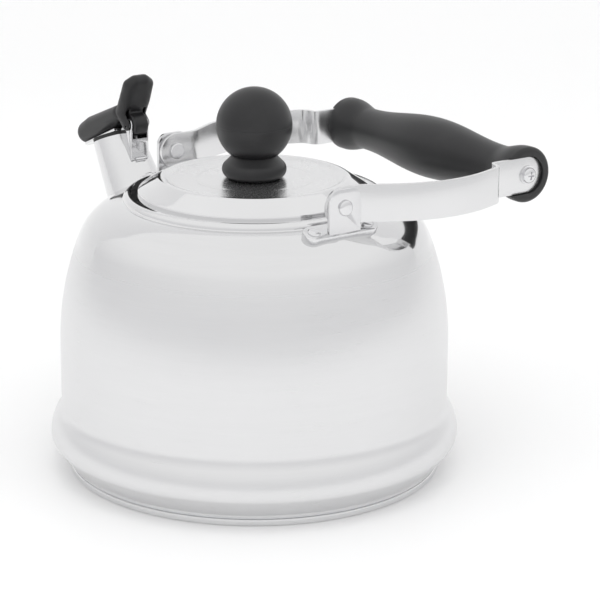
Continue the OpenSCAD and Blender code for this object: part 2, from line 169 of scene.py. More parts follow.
# %% Steel
def steel(name, grain, dark, light, rough, spread, depth, smudge=0.05):
    """Stainless steel with lines squeezed by grain and soft wiping marks."""
    material, tree, shader = finish(name, light, 1.0, rough)
    lines = noise(tree, grain, detail=4.0, rough=0.6)
    wiped = noise(tree, (28, 28, 40), detail=3.0)
    feed(tree, shader, "Base Color", tint(tree, lines * 0.6 + wiped * 0.4, dark, light))
    feed(tree, shader, "Roughness", (lines - 0.5) * spread + (wiped - 0.5) * smudge + rough)
    bump(tree, shader, lines, depth)
    return material


BRIGHT = (0.72, 0.72, 0.725), (0.80, 0.80, 0.805)
SOFT = (0.71, 0.71, 0.715), (0.78, 0.78, 0.785)
GREY = (0.66, 0.66, 0.67), (0.78, 0.78, 0.785)
DULL = (0.66, 0.66, 0.67), (0.82, 0.82, 0.83)
polished = steel("polished_steel", (220, 220, 2600), *BRIGHT, 0.07, 0.04, 2e-7)
arm_steel = steel("arm_steel", (40, 40, 2600), *SOFT, 0.26, 0.04, 1e-7)
spout_steel = steel("spout_steel", (900, 900, 60), *BRIGHT, 0.2, 0.06, 5e-7)
bracket_steel = steel("bracket_steel", (2400, 260, 260), *GREY, 0.14, 0.06, 5e-7)
fastener = steel("fastener_steel", (1500, 1500, 1500), *DULL, 0.18, 0.08, 1e-6)
print("steels:", polished.name, arm_steel.name, spout_steel.name, bracket_steel.name, fastener.name)

# %% [markdown]
# ### The body's steel
# The drum has a satin brush that stops at the shoulder; above it the dome is polished. One mask on
# the height mixes the two. The brush lines run round the body, so the noise changes quickly with the
# height and slowly around it.


# %% Body steel
def body_finish(brush_ends, polish_begins):
    material, tree, shader = finish("satin_body_steel", (0.88, 0.88, 0.885), 1.0, 0.3)
    coords = tree.add("ShaderNodeTexCoord").outputs["Object"]
    height = Value(tree, tree.add("ShaderNodeSeparateXYZ", Vector=coords).outputs[2])
    mirror = height.step(brush_ends, polish_begins)
    fine = noise(tree, (60, 60, 3400), detail=4.0, rough=0.65)
    broad = noise(tree, (14, 14, 240), detail=2.0)
    wiped = noise(tree, (22, 22, 26), detail=3.0)
    lines = fine * 0.7 + broad * 0.3
    tone = tint(tree, lines * 0.7 + wiped * 0.3, (0.71, 0.71, 0.715), (0.80, 0.80, 0.805))
    feed(tree, shader, "Base Color", tone)
    satin = (lines - 0.5) * 0.16 + (wiped - 0.5) * 0.05 + 0.30
    gloss = (wiped - 0.5) * 0.04 + 0.085
    feed(tree, shader, "Roughness", satin * (1 - mirror) + gloss * mirror)
    bump(tree, shader, lines * (1 - mirror), 1.2e-6)
    return material


body_steel = body_finish(0.112, 0.124)
print("body finish:", body_steel.name)


# %% Lid steel
def lid_finish(satin_ends, mirror_begins):
    """The flat top is satin out to a radius; the bevel round it is polished."""
    material, tree, shader = finish("lid_steel", (0.80, 0.80, 0.805), 1.0, 0.2)
    coords = tree.add("ShaderNodeTexCoord").outputs["Object"]
    part = tree.add("ShaderNodeSeparateXYZ", Vector=coords).outputs
    x, y = Value(tree, part[0]), Value(tree, part[1])
    mirror = ((x * x + y * y) ** 0.5).step(satin_ends, mirror_begins)
    wiped = noise(tree, (26, 26, 26), detail=3.0)
    grain = noise(tree, (700, 700, 700), detail=3.0, rough=0.6)
    feed(tree, shader, "Base Color", tint(tree, wiped, (0.74, 0.74, 0.745), (0.81, 0.81, 0.815)))
    satin = (grain - 0.5) * 0.04 + (wiped - 0.5) * 0.06 + 0.27
    gloss = (wiped - 0.5) * 0.04 + 0.07
    feed(tree, shader, "Roughness", satin * (1 - mirror) + gloss * mirror)
    return material


lid_steel = lid_finish(0.0455, 0.0485)
print("lid finish:", lid_steel.name)

# %% [markdown]
# ### Black plastic, rubber, brass and aluminium
# The grip, the knob and the whistle are moulded in a black heat-proof plastic: nearly black, with a
# fine satin grain that breaks up the highlights, and a slightly greyer bloom where hands rub it.


# %% The other finishes
def plastic(name, dark, light, rough, grain_depth, coat=0.0):
    material, tree, shader = finish(name, dark, 0.0, rough, Coat_Weight=coat, Coat_Roughness=0.25)
    grain = noise(tree, (1, 1, 1), detail=3.0, size=1900.0)
    bloom = noise(tree, (1, 1, 1), detail=4.0, size=38.0)
    feed(tree, shader, "Base Color", tint(tree, bloom.step(0.35, 0.75), dark, light))
    feed(tree, shader, "Roughness", (grain - 0.5) * 0.10 + (bloom - 0.5) * 0.14 + rough)
    bump(tree, shader, grain, grain_depth)
    return material


def turned(name, dark, light, rough):
    """Metal with fine lathe rings."""
    material, tree, shader = finish(name, light, 1.0, rough)
    rings = noise(tree, (90, 90, 90), detail=5.0, size=14.0)
    feed(tree, shader, "Base Color", tint(tree, rings, dark, light))
    feed(tree, shader, "Roughness", (rings - 0.5) * 0.2 + rough)
    bump(tree, shader, rings, 2e-6)
    return material


black = plastic("black_plastic", (0.008, 0.008, 0.009), (0.016, 0.016, 0.017), 0.40, 5e-6)
rubber = plastic("black_rubber", (0.012, 0.012, 0.012), (0.022, 0.022, 0.022), 0.62, 8e-6)
brass = turned("brass_insert", (0.56, 0.40, 0.16), (0.78, 0.60, 0.28), 0.28)
aluminium = turned("core_aluminium", (0.62, 0.63, 0.65), (0.78, 0.79, 0.80), 0.36)
print("plastics and metals:", black.name, rubber.name, brass.name, aluminium.name)

# %% [markdown]
# ## Profiles
# Almost everything here was made on a lathe or a press, so it is described by a profile: radius
# against height. `arc` samples a true arc, `rounded` rounds the corners of a few straight strokes.


# %% Profile helpers
def arc(cx, cz, r, start, end, steps):
    angles = [math.radians(start + (end - start) * k / steps) for k in range(steps + 1)]
    return [(cx + r * math.cos(a), cz + r * math.sin(a)) for a in angles]


def rounded(points, cuts, steps=8):
    """The stroke through points, with corner k rounded off over the length cuts[k] on each side."""
    out = [points[0]]
    for before, at, after, cut in zip(points, points[1:], points[2:], cuts):
        p, q, s = Vector(before), Vector(at), Vector(after)
        a, b = q + (p - q).normalized() * cut, q + (s - q).normalized() * cut
        for k in range(steps + 1):
            u = k / steps
            out.append(tuple((1 - u) ** 2 * a + 2 * u * (1 - u) * q + u * u * b))
    out.append(points[-1])
    return out


# %% [markdown]
# ## The lathe
# A revolved shape follows a rule, so Geometry Nodes make it. The profile goes in as a line of edges.
# It becomes a curve and is swept round a small circle, the hub, which keeps the sweep's own axes the
# right way up; the profile is shifted inwards by the hub's radius so its sizes stay true.


# %% The lathe tree
HUB = 0.01


def group(name, inputs):
    """An empty geometry tree with the named inputs."""
    tree = bpy.data.node_groups.new(name, "GeometryNodeTree")
    tree.interface.new_socket("Geometry", in_out="INPUT", socket_type="NodeSocketGeometry")
    for label, kind, value in inputs:
        socket = tree.interface.new_socket(label, in_out="INPUT", socket_type="NodeSocket" + kind)
        if value is not None:
            socket.default_value = value
    tree.interface.new_socket("Geometry", in_out="OUTPUT", socket_type="NodeSocketGeometry")
    build = Tree(tree)
    return build, build.add("NodeGroupInput").outputs


def close_group(build, geometry, material):
    """Every tree ends the same way: real geometry with its material."""
    real = build.add("GeometryNodeRealizeInstances", Geometry=geometry)
    painted = build.add("GeometryNodeSetMaterial", Geometry=real.outputs[0], Material=material)
    build.add("NodeGroupOutput", Geometry=painted.outputs[0])
    return build.tree


def lathe_tree():
    inputs = [("Sides", "Int", 160), ("Hub", "Float", HUB), ("Material", "Material", None)]
    build, given = group("lathe", inputs)
    profile = build.add("GeometryNodeMeshToCurve", Mesh=given["Geometry"])
    circle = build.add("GeometryNodeCurvePrimitiveCircle", Resolution=given["Sides"], Radius=given["Hub"])
    upright = build.add("GeometryNodeSetCurveNormal", {"mode": "Z_UP"}, Curve=circle.outputs[0])
    swept = build.add("GeometryNodeCurveToMesh", Curve=upright.outputs[0], Profile_Curve=profile.outputs[0])
    joined = build.add("GeometryNodeMergeByDistance", Geometry=swept.outputs[0], Distance=1e-6)
    return close_group(build, joined.outputs[0], given["Material"])


LATHE = lathe_tree()
print("lathe tree nodes:", len(LATHE.nodes))


# %% Run a tree and keep its result
def link(obj):
    bpy.context.scene.collection.objects.link(obj)
    return obj


def mesh_object(name, points, edges=(), faces=()):
    mesh = bpy.data.meshes.new(name)
    mesh.from_pydata(points, edges, faces)
    return link(bpy.data.objects.new(name, mesh))


def bake(obj, name):
    """The object's mesh with its modifiers applied, as a new plain object. The old one goes."""
    bpy.context.view_layer.update()
    result = obj.evaluated_get(bpy.context.evaluated_depsgraph_get())
    mesh = bpy.data.meshes.new_from_object(result)
    bpy.data.objects.remove(obj)
    mesh.name = name
    return link(bpy.data.objects.new(name, mesh))


def run(tree, obj, name, **values):
    modifier = obj.modifiers.new("shape", "NODES")
    modifier.node_group = tree
    for item in tree.interface.items_tree:
        if item.in_out == "INPUT" and item.name in values:
            modifier[item.identifier] = values[item.name]
    return bake(obj, name)


def outward(obj, angle=32):
    """Faces turned outwards, smooth but for real corners."""
    form = bmesh.new()
    form.from_mesh(obj.data)
    bmesh.ops.remove_doubles(form, verts=form.verts, dist=1e-7)
    bmesh.ops.recalc_face_normals(form, faces=form.faces)
    if form.calc_volume(signed=True) < 0:
        bmesh.ops.reverse_faces(form, faces=form.faces)
    form.to_mesh(obj.data)
    form.free()
    obj.data.shade_smooth()
    obj.data.set_sharp_from_angle(angle=math.radians(angle))
    return obj


def revolve(name, profile, material, sides=160, place=None):
    """profile is (radius, height) in millimetres; place moves the finished mesh."""
    points = [(r * MM - HUB, -z * MM, 0) for r, z in profile]
    line = mesh_object(name, points, [(k, k + 1) for k in range(len(points) - 1)])
    obj = outward(run(LATHE, line, name, Sides=sides, Material=material))
    if place is not None:
        obj.data.transform(place)
    return obj


def settle(obj, body, slot, *nodes):
    """Hands a finished piece to the frame."""
    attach(obj, body)
    if nodes:
        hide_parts(*nodes)
    print(f"{obj.name}: {len(obj.data.polygons)} faces on {body}")
    return obj


# %% [markdown]
# ## The body
# The sheet is drawn from one disc: a short upright foot, a slope under the bulge, the bulge, a hollow
# above it, the drum, the dome and a tight shoulder, then a raised ring round the neck. Each arc runs
# into the next without a kink, because its centre lies on the line through the joint.

# %% Body profile
BULGE_R, CAPSULE_H, BODY_H, WALL = 105.0, 4.4, 142.8, 1.0
LID_R = 58.8
NECK_R, NECK_IN = LID_R + 8.4, LID_R - 2.1
DRUM_R = BULGE_R - 5.6
BULGE_ARC, LIP_ARC, FILLET_ARC, DOME_TURN, UNDER_TURN = 20.0, 6.0, 12.0, 21.4, 40.0
bulge_z, lip_x = CAPSULE_H + 13.9, BULGE_R - LIP_ARC
under = math.radians(UNDER_TURN)
fillet_x = DRUM_R + FILLET_ARC
fillet_turn = math.degrees(math.acos((fillet_x - BULGE_R + BULGE_ARC) / (BULGE_ARC + FILLET_ARC)))
fillet_z = bulge_z + (BULGE_ARC + FILLET_ARC) * math.sin(math.radians(fillet_turn))
crown_x = NECK_R - 6.1
crown_gap = DRUM_R - crown_x
crown_arc = 0.783 * crown_gap
dome_cos = math.cos(math.radians(DOME_TURN))
dome_arc = (crown_gap - crown_arc * dome_cos) / (1 - dome_cos)
crown_z = BODY_H - 3 - crown_arc
dome_z = crown_z - (dome_arc - crown_arc) * math.sin(math.radians(DOME_TURN))
crown_end = math.degrees(math.acos((NECK_R - crown_x) / crown_arc))
neck_z = crown_z + crown_arc * math.sin(math.radians(crown_end))


def slope_r(inset, z):
    """Radius at height z of the slope under the bulge."""
    arm = LIP_ARC - inset
    return lip_x + arm * math.cos(under) - (bulge_z - arm * math.sin(under) - z) * math.tan(under)


KNEE_Z = CAPSULE_H + 1.1
KNEE_R = slope_r(0, KNEE_Z)
climb = (KNEE_R + 9 * math.tan(under), KNEE_Z + 9)
foot = [(KNEE_R - 0.3, CAPSULE_H), (KNEE_R, CAPSULE_H + 0.3), (KNEE_R, KNEE_Z), climb]
knee = rounded(foot, [0.15, 0.7])[:-1]


def body_side(inset, fine):
    """The wall's section from under the bulge to the neck, moved inwards by inset."""
    return (
        arc(lip_x, bulge_z, LIP_ARC - inset, -UNDER_TURN, 0, 12 * fine)
        + arc(BULGE_R - BULGE_ARC, bulge_z, BULGE_ARC - inset, 0, fillet_turn, 12 * fine)
        + arc(fillet_x, fillet_z, FILLET_ARC + inset, 180 + fillet_turn, 180, 10 * fine)
        + arc(DRUM_R - dome_arc, dome_z, dome_arc - inset, 0, DOME_TURN, 12 * fine)
        + arc(crown_x, crown_z, crown_arc - inset, DOME_TURN, crown_end, 20 * fine)
    )


neck_foot = [(NECK_R - 0.35, neck_z + 0.05), (NECK_R - 0.75, neck_z + 0.5)]
neck_ring = neck_foot + arc(NECK_R - 3.7, BODY_H - 2.9, 2.9, 5, 90, 10)
neck_lip = arc(NECK_IN + 0.7, BODY_H - 0.7, 0.7, 90, 180, 5)
neck_inside = [(NECK_IN, BODY_H - 6.5), (NECK_IN + WALL, BODY_H - 6.5), (NECK_IN + WALL, neck_z - WALL)]
inner = body_side(WALL, 1)[::-1]
floor_inside = [(slope_r(WALL, CAPSULE_H + WALL), CAPSULE_H + WALL), (0, CAPSULE_H + WALL)]
outer = [(0, CAPSULE_H)] + knee + body_side(0, 2)
body_profile = outer + neck_ring + neck_lip + neck_inside + inner + floor_inside
print("body profile points:", len(body_profile), "neck crease at", round(neck_z, 2))

# %% [markdown]
# ## Cutting holes
# The steam and the water leave through a hole behind the spout. A cone along the spout's axis cuts
# it, and the same cone, a wall thickness larger, becomes the spout itself.

# %% Spout frame
MOUTH_R, SPOUT_WALL, LEAN, TILT, GROW = 13.2, 0.9, 35.5, 23.5, 0.08
SPOUT_LOW, SPOUT_OVER = 70, 8
MOUTH = Vector((0, BULGE_R * 1.25, BODY_H + 3.3))
spout_axis = Matrix.Translation(MOUTH * MM) @ Matrix.Rotation(-math.radians(LEAN), 4, "X")
mouth_frame = Matrix.Translation(MOUTH * MM) @ Matrix.Rotation(-math.radians(TILT), 4, "X")


def cut(obj, cutter, operation="DIFFERENCE"):
    """Cuts a throwaway shape out of a piece."""
    modifier = obj.modifiers.new("cut", "BOOLEAN")
    modifier.operation, modifier.object, modifier.solver = operation, cutter, "EXACT"
    name = obj.name
    result = bake(obj, name + "_cut")
    bpy.data.objects.remove(cutter)
    result.name = name
    return outward(result)


def cone(inset, below, above, name="cutter"):
    r = MOUTH_R - inset
    ends = [(0, -below), (r + below * GROW, -below), (r - above * GROW, above), (0, above)]
    return revolve(name, ends, None, sides=96, place=spout_axis)


body = revolve("kettle_body", body_profile, body_steel, sides=192)
body = cut(body, cone(SPOUT_WALL, SPOUT_LOW, 0))
settle(body, "kettle", "brushed_body", "body_shell")

# %% [markdown]
# ## The base
# A thin capsule closes over an aluminium disc that spreads the heat. Only its rim shows, below a
# narrow dark groove. The groove is real: the capsule's side is drawn in a little at its top.

# %% Base capsule
capsule_r = KNEE_R - 0.2
GROOVE, SHEET = 0.9, 0.8
rim = [(0, 0), (capsule_r, 0), (capsule_r, CAPSULE_H - 1.2), (capsule_r - GROOVE, CAPSULE_H - 0.8),
    (capsule_r - GROOVE, CAPSULE_H)]
sheet = [(capsule_r - 1.5, CAPSULE_H), (capsule_r - 1.5, SHEET), (0, SHEET)]
capsule = revolve("base_cap", rounded(rim, [1.0, 0.4, 0.3]) + sheet, polished, sides=192)
settle(capsule, "kettle", "brushed_body", "base_capsule")

# %% [markdown]
# ## The spout
# A short tapered tube leans outwards and is cut level with its own mouth. Where it meets the body a
# copy of the body's outside trims it, so it lands on the wall with no gap.

# %% Spout tube
rim_round = arc(MOUTH_R - SPOUT_WALL / 2 - SPOUT_OVER * GROW, SPOUT_OVER, SPOUT_WALL / 2, 0, 180, 6)
low_r = MOUTH_R + SPOUT_LOW * GROW
low_inside = (low_r - SPOUT_WALL, -SPOUT_LOW)
tube = [low_inside, (low_r, -SPOUT_LOW)] + rim_round + [low_inside]
spout = revolve("spout", tube, spout_steel, sides=96, place=spout_axis)
outside = outer + [(NECK_R - 4, BODY_H), (0, BODY_H)]
spout = cut(spout, revolve("cutter", outside, None, sides=192))
BLOCK = 0.04
square = ((-BLOCK, -BLOCK), (BLOCK, -BLOCK), (BLOCK, BLOCK), (-BLOCK, BLOCK))
top = mesh_object("cutter", [(x, y, z) for z in (0, BLOCK) for x, y in square],
    faces=[(0, 3, 2, 1), (4, 5, 6, 7), (0, 1, 5, 4), (1, 2, 6, 5), (2, 3, 7, 6), (3, 0, 4, 7)])
top.data.transform(mouth_frame)
spout = cut(spout, top)
settle(spout, "kettle", "polished_steel", "spout_tube")

# %% [markdown]
# ## The lid
# One pressing: a rolled rim that sits on the neck ring, a cone up to a rounded ridge, and a slightly
# sunken top with a faint pressed circle. The bevel is polished like a mirror, so its corners are
# rounded strokes and never sharp edges.

# %% Lid
RIDGE_R, LID_TOP, DISH, LID_T = LID_R - 11, BODY_H + 8.3, 1.0, 1.0
LID_BORE, PRESSED = 2.2, 0.16
top_z = LID_TOP - DISH
strokes = [(LID_BORE, top_z), (RIDGE_R - 19.6, top_z), (RIDGE_R - 18.8, top_z - PRESSED),
    (RIDGE_R - 17.6, top_z - PRESSED),
    (RIDGE_R - 16.8, top_z), (RIDGE_R - 4.2, top_z), (RIDGE_R - 2.2, LID_TOP), (RIDGE_R + 0.1, LID_TOP),
    (LID_R - 5.4, BODY_H + 5.0), (LID_R - 1.5, BODY_H + 2.6), (LID_R, BODY_H + 1.5), (LID_R, BODY_H)]
soft = [0.3, 0.3, 0.3, 0.3, 1.3, 0.9, 1.1, 1.8, 1.2, 0.7]
under_lid_face = [(LID_R - LID_T, BODY_H), (LID_R - LID_T, BODY_H + 0.8), (LID_R - 2.4, BODY_H + 1.7),
    (LID_R - 6.2, BODY_H + 4.2), (RIDGE_R, LID_TOP - 1.6), (RIDGE_R - 1.4, LID_TOP - LID_T),
    (RIDGE_R - 3.4, top_z - LID_T), (LID_BORE, top_z - LID_T), (LID_BORE, top_z)]
lid = revolve("lid", rounded(strokes, soft) + under_lid_face, lid_steel, sides=192)
settle(lid, "lid", "polished_steel", "lid_shell")

# %% [markdown]
# ## The knob
# A turned black ball on a squashed ring. Both are lathe profiles; the ball carries the fine parting
# line of its mould, and the ring tucks in at the top and the bottom.

# %% Knob
KNOB_R, COLLAR_H = 19.2, 12.0
seat_r, collar_r = KNOB_R * 0.6, KNOB_R * 0.85
knob_z = top_z + COLLAR_H + KNOB_R * 0.78
flat_z = knob_z - KNOB_R * 0.8
low_turn = math.degrees(math.asin(-0.8))
ball = [(0, flat_z), (seat_r - 0.5, flat_z)] + arc(0, knob_z, KNOB_R, low_turn + 1.5, -0.9, 24)
SEAM = 0.12
ball += [(KNOB_R - SEAM, knob_z - SEAM), (KNOB_R - SEAM, knob_z + SEAM)] + arc(0, knob_z, KNOB_R, 0.9, 90, 36)
knob = revolve("knob", ball, black, sides=96)
INSERT_R, INSERT_L = 3.6, 14
socket_line = [(0, flat_z - 1), (INSERT_R, flat_z - 1), (INSERT_R, flat_z + INSERT_L), (0, flat_z + INSERT_L)]
socket = revolve("cutter", socket_line, None, sides=32)
knob = cut(knob, socket)
settle(knob, "lid", "black_plastic", "knob_ball")

RING_ARC = 4.6
ring = [(LID_BORE, top_z), (collar_r - RING_ARC, top_z)]
ring += arc(collar_r - RING_ARC, top_z + RING_ARC, RING_ARC, -82, 52, 20)
ring += [(seat_r + 1, flat_z - 1.4), (seat_r, flat_z), (LID_BORE, flat_z), (LID_BORE, top_z)]
collar = revolve("knob_ring", ring, black, sides=96)
settle(collar, "lid", "black_plastic", "knob_collar")

# %% [markdown]
# ## The grip
# A turned grip: a full belly, a waist near each end and a flared, rounded flange. The profile is
# drawn for one half and mirrored. A recess in each flange takes the arm's round end and is open on
# the side where the arm comes in.

# %% Grip
pivot = Vector(joints["handle_swing"]["pos_m"]) / MM
PIVOT_Z, STRAP_H, STRAP_T, REACH = pivot.z, 18.5, 2.0, 116.0
STRAP_Y = NECK_R + 4.6 + 0.7
TAB_Y = STRAP_Y + 1.7
floor_y = TAB_Y - STRAP_T / 2
RECESS, BELLY_R, FLANGE_R = 3.4, 16.2, 14.4
grip_end, waist_r = floor_y + RECESS, BELLY_R * 0.7
waist_y, flare_y = grip_end * 0.72, grip_end * 0.93
belly = []
for k in range(41):
    u = k / 40
    belly.append((waist_r + (BELLY_R - waist_r) * math.cos(math.pi / 2 * u) ** 2, waist_y * u))
flare = []
for k in range(1, 15):
    u = k / 14
    flare.append((waist_r + (FLANGE_R - waist_r) * (3 - 2 * u) * u * u, waist_y + (flare_y - waist_y) * u))
half = belly + flare + arc(FLANGE_R - 2.6, grip_end - 2.6, 2.6, 0, 90, 10)
grip_profile = [(0, -grip_end)] + [(r, -z) for r, z in half[::-1]] + half[1:] + [(0, grip_end)]
lay_down = Matrix.Translation(Vector((REACH, 0, PIVOT_Z)) * MM) @ Matrix.Rotation(-math.pi / 2, 4, "X")
grip = revolve("grip", grip_profile, black, sides=96, place=lay_down)


def slab(name, outline, low, high):
    """A closed plate: an outline of (x, y) in millimetres, filled between two heights."""
    n = len(outline)
    points = [(x * MM, y * MM, z * MM) for z in (low, high) for x, y in outline]
    sides = [(k, (k + 1) % n, n + (k + 1) % n, n + k) for k in range(n)]
    return mesh_object(name, points, faces=[tuple(range(n))[::-1], tuple(range(n, 2 * n)), *sides])


FIT = 0.4
for side in (1, -1):
    r = STRAP_H / 2 + FIT
    outline = [(-FLANGE_R - 4, -r)] + arc(0, 0, r, -90, 90, 24) + [(-FLANGE_R - 4, r)]
    tool = outward(slab("cutter", outline, 0, RECESS + 1))
    turn = Matrix.Rotation(-side * math.pi / 2, 4, "X")
    stand = Matrix.Translation(Vector((REACH, side * floor_y, PIVOT_Z)) * MM) @ turn
    tool.data.transform(stand)
    grip = cut(grip, tool)
    bore = revolve("cutter", [(0, -15), (3.4, -15), (3.4, 1), (0, 1)], None, sides=32, place=stand)
    grip = cut(grip, bore)
settle(grip, "handle", "black_plastic", "handle_grip")

# %% [markdown]
# ## The arms
# Each arm is a flat steel strip with round ends, bent to reach round the lid. It starts as a flat
# strip whose X is the distance along the bend. A geometry tree then lays every point on the path:
# Sample Curve gives the place and direction at that distance, and the strip's own Y becomes its
# distance from the path.


# %% The bending tree
def bend_tree():
    inputs = [("Path", "Object", None), ("Material", "Material", None)]
    build, given = group("bend along a path", inputs)
    info = build.add("GeometryNodeObjectInfo", Object=given["Path"])
    path = build.add("GeometryNodeMeshToCurve", Mesh=info.outputs["Geometry"])
    place = build.add("GeometryNodeInputPosition").outputs[0]
    part = build.add("ShaderNodeSeparateXYZ", Vector=place).outputs
    settings = {"mode": "LENGTH", "data_type": "FLOAT_VECTOR"}
    sample = build.add("GeometryNodeSampleCurve", settings, Curves=path.outputs[0], Length=part[0])
    up = build.add("ShaderNodeCombineXYZ", Z=1.0).outputs[0]
    tangent = sample.outputs["Tangent"]
    across = build.add("ShaderNodeVectorMath", {"operation": "CROSS_PRODUCT"}, i0=up, i1=tangent)
    offset = build.add("ShaderNodeVectorMath", {"operation": "SCALE"}, i0=across.outputs[0], Scale=part[1])
    lift = build.add("ShaderNodeCombineXYZ", Z=part[2]).outputs[0]
    spot = sample.outputs["Position"]
    near = build.add("ShaderNodeVectorMath", {"operation": "ADD"}, i0=spot, i1=offset.outputs[0])
    final = build.add("ShaderNodeVectorMath", {"operation": "ADD"}, i0=near.outputs[0], i1=lift)
    moved = build.add("GeometryNodeSetPosition", Geometry=given["Geometry"], Position=final.outputs[0])
    return close_group(build, moved.outputs[0], given["Material"])


BEND = bend_tree()
print("bending tree nodes:", len(BEND.nodes))

# %% Arm path and strips
end_r = STRAP_H / 2
corners = [(-end_r - 1, STRAP_Y), (12.2, STRAP_Y), (REACH * 0.434, STRAP_Y + 24),
    (REACH - 25, STRAP_Y + 9.6), (REACH - 22.8, TAB_Y), (REACH + end_r + 1, TAB_Y)]
bent = rounded(corners, [3, 33, 3.4, 2.8], steps=24)
length = sum((Vector(b) - Vector(a)).length for a, b in zip(bent, bent[1:]))
print("arm path", round(length, 1), "mm along", len(bent), "points")


def strip(name):
    """A flat strip with round ends, standing in XZ, cut into short lengths so it can bend."""
    first, last = 1.0, length - 1.0
    stations = [first + end_r * (1 - math.cos(math.pi / 2 * k / 14)) for k in range(15)]
    middle = int((last - first - 2 * end_r) / 0.8)
    stations += [first + end_r + (last - first - 2 * end_r) * k / middle for k in range(1, middle)]
    stations += [last - end_r * (1 - math.cos(math.pi / 2 * k / 14)) for k in range(14, -1, -1)]
    form = bmesh.new()
    rows = []
    for s in stations:
        gap = min(s - first, last - s, end_r)
        half = max(math.sqrt(max(end_r**2 - (end_r - gap) ** 2, 0)), 0.05)
        around = ((-1, -1), (1, -1), (1, 1), (-1, 1))
        rows.append([form.verts.new((s * MM, y * MM, z * half * MM)) for y, z in around])
    for a, b in zip(rows, rows[1:]):
        for k in range(4):
            form.faces.new((a[k], a[(k + 1) % 4], b[(k + 1) % 4], b[k]))
    form.faces.new(rows[0][::-1])
    form.faces.new(rows[-1])
    obj = mesh_object(name, [])
    form.to_mesh(obj.data)
    form.free()
    return outward(obj)


def rod(x, y, r, reach=4.0):
    """A throwaway rod across the arm at (x, y)."""
    stand = Matrix.Translation(Vector((x, y, PIVOT_Z)) * MM) @ Matrix.Rotation(math.pi / 2, 4, "X")
    line = [(0, -reach), (r, -reach), (r, reach), (0, reach)]
    return revolve("cutter", line, None, sides=48, place=stand)


def soften(obj, width, angle=35, segments=2):
    """Breaks sharp edges as a tumbler does."""
    modifier = obj.modifiers.new("edges", "BEVEL")
    modifier.width, modifier.segments, modifier.limit_method = width * MM, segments, "ANGLE"
    modifier.angle_limit, modifier.use_clamp_overlap = math.radians(angle), True
    name = obj.name
    result = bake(obj, name + "_soft")
    result.name = name
    return outward(result, angle)


PIVOT_BORE, SCREW_BORE = 2.56, 2.1
bent_points = [(x * MM, y * MM, PIVOT_Z * MM) for x, y in bent]
for side, label in ((1, "front"), (-1, "rear")):
    path = mesh_object("path", bent_points, [(k, k + 1) for k in range(len(bent) - 1)])
    arm = soften(strip("arm_" + label), 0.35, angle=50)
    arm = run(BEND, arm, "arm_" + label, Path=path, Material=arm_steel)
    bpy.data.objects.remove(path)
    arm = outward(arm)
    arm = cut(arm, rod(0, STRAP_Y, PIVOT_BORE))
    arm = cut(arm, rod(REACH, TAB_Y, SCREW_BORE))
    if side < 0:
        arm.data.transform(Matrix.Scale(-1, 4, (0, 1, 0)))
        arm = outward(arm)
    arm.name = "arm_" + label
    settle(arm, "handle", "polished_steel", "handle_arm_" + label)

# %% [markdown]
# ## Brackets and plates
# The CAD solids of the brackets, the whistle's plate and its bracket have the right shape but knife
# edges. A copy of each is merged back into clean faces, its edges are broken with a small bevel, and
# it takes the solid's place.


# %% Plates from their solids
def from_solid(node, name, material, width, angle=35, segments=2):
    """A copy of a CAD node with merged faces and softened edges."""
    obj = link(bpy.data.objects.new(name, frame["nodes"][node].data.copy()))
    form = bmesh.new()
    form.from_mesh(obj.data)
    bmesh.ops.remove_doubles(form, verts=form.verts, dist=2e-6)
    bmesh.ops.dissolve_limit(form, angle_limit=math.radians(1.5), verts=form.verts, edges=form.edges)
    form.to_mesh(obj.data)
    form.free()
    obj.data.materials.clear()
    obj.data.materials.append(material)
    return soften(obj, width, angle, segments)


for label in ("front", "rear"):
    plate = from_solid("handle_bracket_" + label, "bracket_" + label, bracket_steel, 0.3)
    settle(plate, "kettle", "polished_steel", "handle_bracket_" + label)
plate = from_solid("whistle_plate", "steel_plate", polished, 0.2)
settle(plate, "whistle", "polished_steel", "whistle_plate")
plate = from_solid("whistle_bracket", "spout_bracket", bracket_steel, 0.12)
settle(plate, "kettle", "polished_steel", "whistle_bracket")

# %% [markdown]
# ## The whistle's lever
# The lever is one soft moulding: a front lobe over the mouth, a thumb lobe and the block round the
# pin. A voxel remesh melts the joined lobes of its solid into one skin, and smoothing rounds the
# valleys between them as a mould does.

# %% Whistle lever
lever = from_solid("whistle_lever", "lever", black, 0.01)
for kind, settings in (
    ("REMESH", {"mode": "VOXEL", "voxel_size": 0.4 * MM, "use_smooth_shade": True}),
    ("SMOOTH", {"factor": 0.5, "iterations": 14}),
):
    modifier = lever.modifiers.new(kind.lower(), kind)
    for key, value in settings.items():
        setattr(modifier, key, value)
lever = outward(bake(lever, "lever"), 60)
lever.name = "lever"
lever.data.materials.clear()
lever.data.materials.append(black)
settle(lever, "whistle", "black_plastic", "whistle_lever")

# %% [markdown]
# ## Fasteners
# Rivets and screws repeat, so each kind is turned once and a geometry tree sets it on its points.
# Every point carries the direction its head faces. Screws stop at a random turn, and the seed is
# fixed so that they stop there every time.


